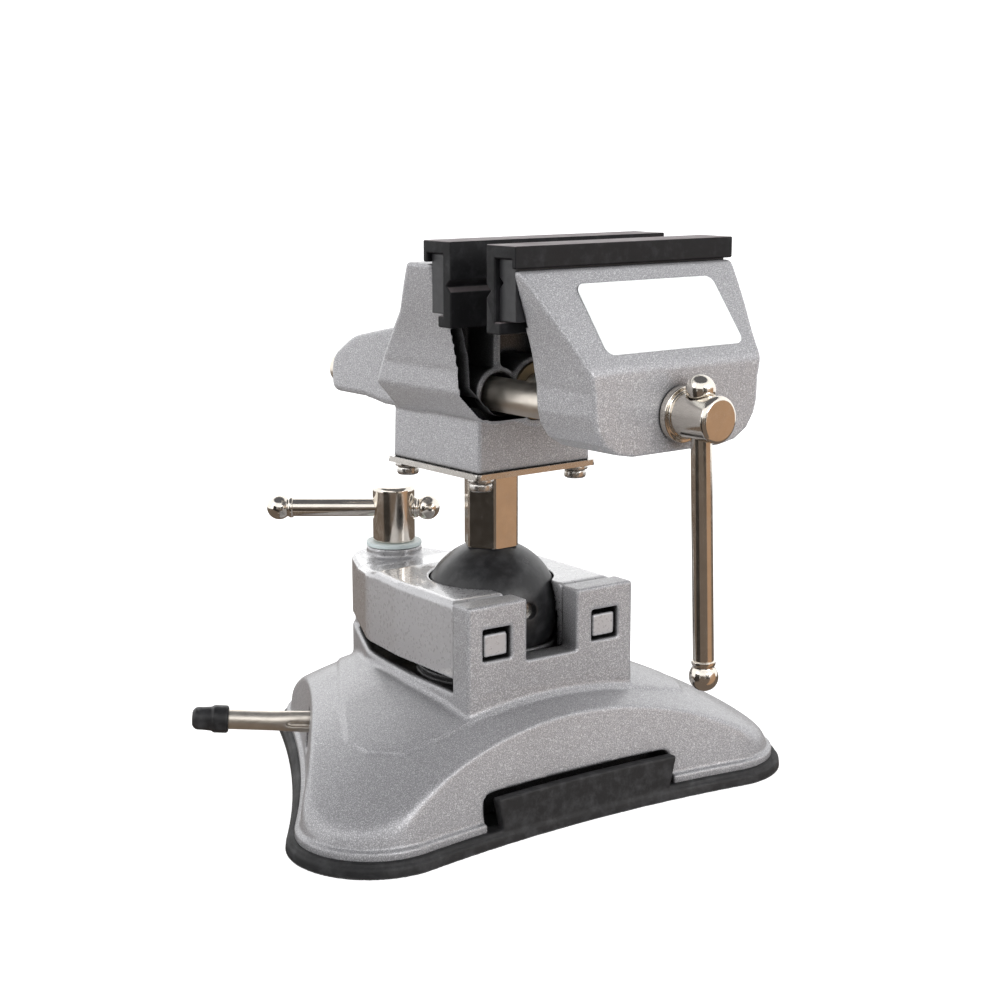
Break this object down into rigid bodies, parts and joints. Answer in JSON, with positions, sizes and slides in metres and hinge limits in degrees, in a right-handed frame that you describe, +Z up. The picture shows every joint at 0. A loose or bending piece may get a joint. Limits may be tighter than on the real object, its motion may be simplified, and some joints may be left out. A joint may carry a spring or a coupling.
{
  "type": "bench vise",
  "caption": "Small ball-joint bench vise with soft-capped jaws, lead screw and guide rods, on a lever-locked suction base.",
  "frame": {"origin": "on the floor directly under the ball, in the plane of the suction pad's rim", "axes": "+Z up, +Y from the notched tower towards the lid's clamp screw, +X to the right seen from the front"},
  "size_m": [0.1624, 0.1833, 0.1588],
  "materials": {
    "casting_paint": "silver-grey metallic hammer paint on die-cast metal",
    "lid_paint": "silver-grey metallic paint, glossier than the base",
    "pad_rubber": "black matte rubber",
    "cap_rubber": "black soft plastic, slightly shiny",
    "bright_steel": "bright nickel plate on turned steel",
    "zinc_steel": "dull zinc-plated steel",
    "rod_steel": "ground steel bar",
    "seat_plastic": "pale moulded plastic",
    "ball_coat": "black coated cast ball, satin",
    "brass": "machined brass",
    "washer_plastic": "pale translucent moulded washer",
    "plate_plastic": "dark grey moulded plastic with a V groove",
    "label": "plain white printed film, no lettering",
    "black_plastic": "black moulded plastic"
  },
  "bodies": {
    "base": {"base_casting": "casting_paint", "suction_pad": "pad_rubber", "ball_seat": "seat_plastic", "lever_shaft": "zinc_steel", "stud_spring": "zinc_steel", "clamp_insert": "brass", "lid_spring": "zinc_steel"},
    "lever": {"lever_fork": "zinc_steel", "lever_rod": "rod_steel", "lever_cap": "black_plastic"},
    "lifting_stud": {"lift_stud": "zinc_steel", "pad_disc": "zinc_steel", "pad_middle": "pad_rubber"},
    "lid": {"clamp_lid": "lid_paint"},
    "washer": {"clamp_washer": "washer_plastic"},
    "clamp": {"clamp_screw": "bright_steel"},
    "clamp_handle": {"clamp_bar": "bright_steel", "clamp_bar_knob_near": "bright_steel", "clamp_bar_knob_far": "bright_steel"},
    "ball_body": {"ball": "ball_coat", "ball_set_screw": "zinc_steel"},
    "head": {"hex_post": "bright_steel", "post_screw": "zinc_steel", "head_plate": "zinc_steel", "plate_washers": "zinc_steel", "plate_screws": "zinc_steel", "fixed_jaw": "casting_paint", "lead_nut": "brass", "fixed_jaw_plate": "plate_plastic", "fixed_plate_screws": "zinc_steel", "fixed_jaw_cap": "cap_rubber"},
    "jaw": {"movable_jaw": "casting_paint", "movable_jaw_plate": "plate_plastic", "movable_plate_screws": "zinc_steel", "movable_jaw_cap": "cap_rubber", "guide_rod_left": "rod_steel", "guide_rod_right": "rod_steel", "jaw_label": "label"},
    "screw": {"lead_screw": "rod_steel", "screw_hub": "bright_steel", "screw_clip": "zinc_steel"},
    "handle": {"main_bar": "bright_steel", "main_bar_knob_top": "bright_steel", "main_bar_knob_bottom": "bright_steel"}
  },
  "joints": [
    {"name": "lever_hinge", "type": "hinge", "parent": "base", "child": "lever", "pos_m": [-0.01212, 0.007, 0.0154], "axis": [0.5, 0.866, 0], "range_deg": [-8, 0]},
    {"name": "stud_lift", "type": "slide", "parent": "base", "child": "lifting_stud", "axis": [0, 0, 1], "range_m": [0, 0.00193], "deforming": ["stud_spring"]},
    {"name": "clamp_lift", "type": "slide", "parent": "base", "child": "washer", "axis": [0, 0, 1], "range_m": [0, 0.00187]},
    {"name": "clamp_turn", "type": "hinge", "parent": "washer", "child": "clamp", "pos_m": [0, 0.0525, 0.06], "axis": [0, 0, 1], "range_deg": [0, 540]},
    {"name": "lid_tilt", "type": "hinge", "parent": "base", "child": "lid", "pos_m": [0, -0.0256, 0.05], "axis": [1, 0, 0], "range_deg": [0, 1.15], "deforming": ["lid_spring"]},
    {"name": "clamp_bar_slide", "type": "slide", "parent": "clamp", "child": "clamp_handle", "axis": [0.8141, -0.5807, 0], "range_m": [0, 0.025]},
    {"name": "post_tilt", "type": "hinge", "parent": "base", "child": "ball_body", "pos_m": [0, 0, 0.0516], "axis": [1, 0, 0], "range_deg": [-25, 88]},
    {"name": "head_spin", "type": "hinge", "parent": "ball_body", "child": "head", "pos_m": [0, 0, 0.0516], "axis": [0, 0, 1], "continuous": true},
    {"name": "jaw_slide", "type": "slide", "parent": "head", "child": "jaw", "axis": [-0.0558, 0.9984, 0], "range_m": [-0.0532, 0.0146]},
    {"name": "screw_turn", "type": "hinge", "parent": "jaw", "child": "screw", "pos_m": [0.00469, -0.08387, 0.1166], "axis": [-0.0558, 0.9984, 0], "range_deg": [-9580, 2630]},
    {"name": "main_bar_slide", "type": "slide", "parent": "screw", "child": "handle", "axis": [-0.0427, -0.0024, 0.9991], "range_m": [0, 0.0605]}
  ],
  "couplings": [
    {"joint": "lever_hinge", "follows": "stud_lift", "rad_per_m": -71.942},
    {"joint": "clamp_turn", "follows": "clamp_lift", "rad_per_m": 5026.5},
    {"joint": "lid_tilt", "follows": "clamp_lift", "rad_per_m": 10.254},
    {"joint": "screw_turn", "follows": "jaw_slide", "rad_per_m": 3141.6}
  ]
}
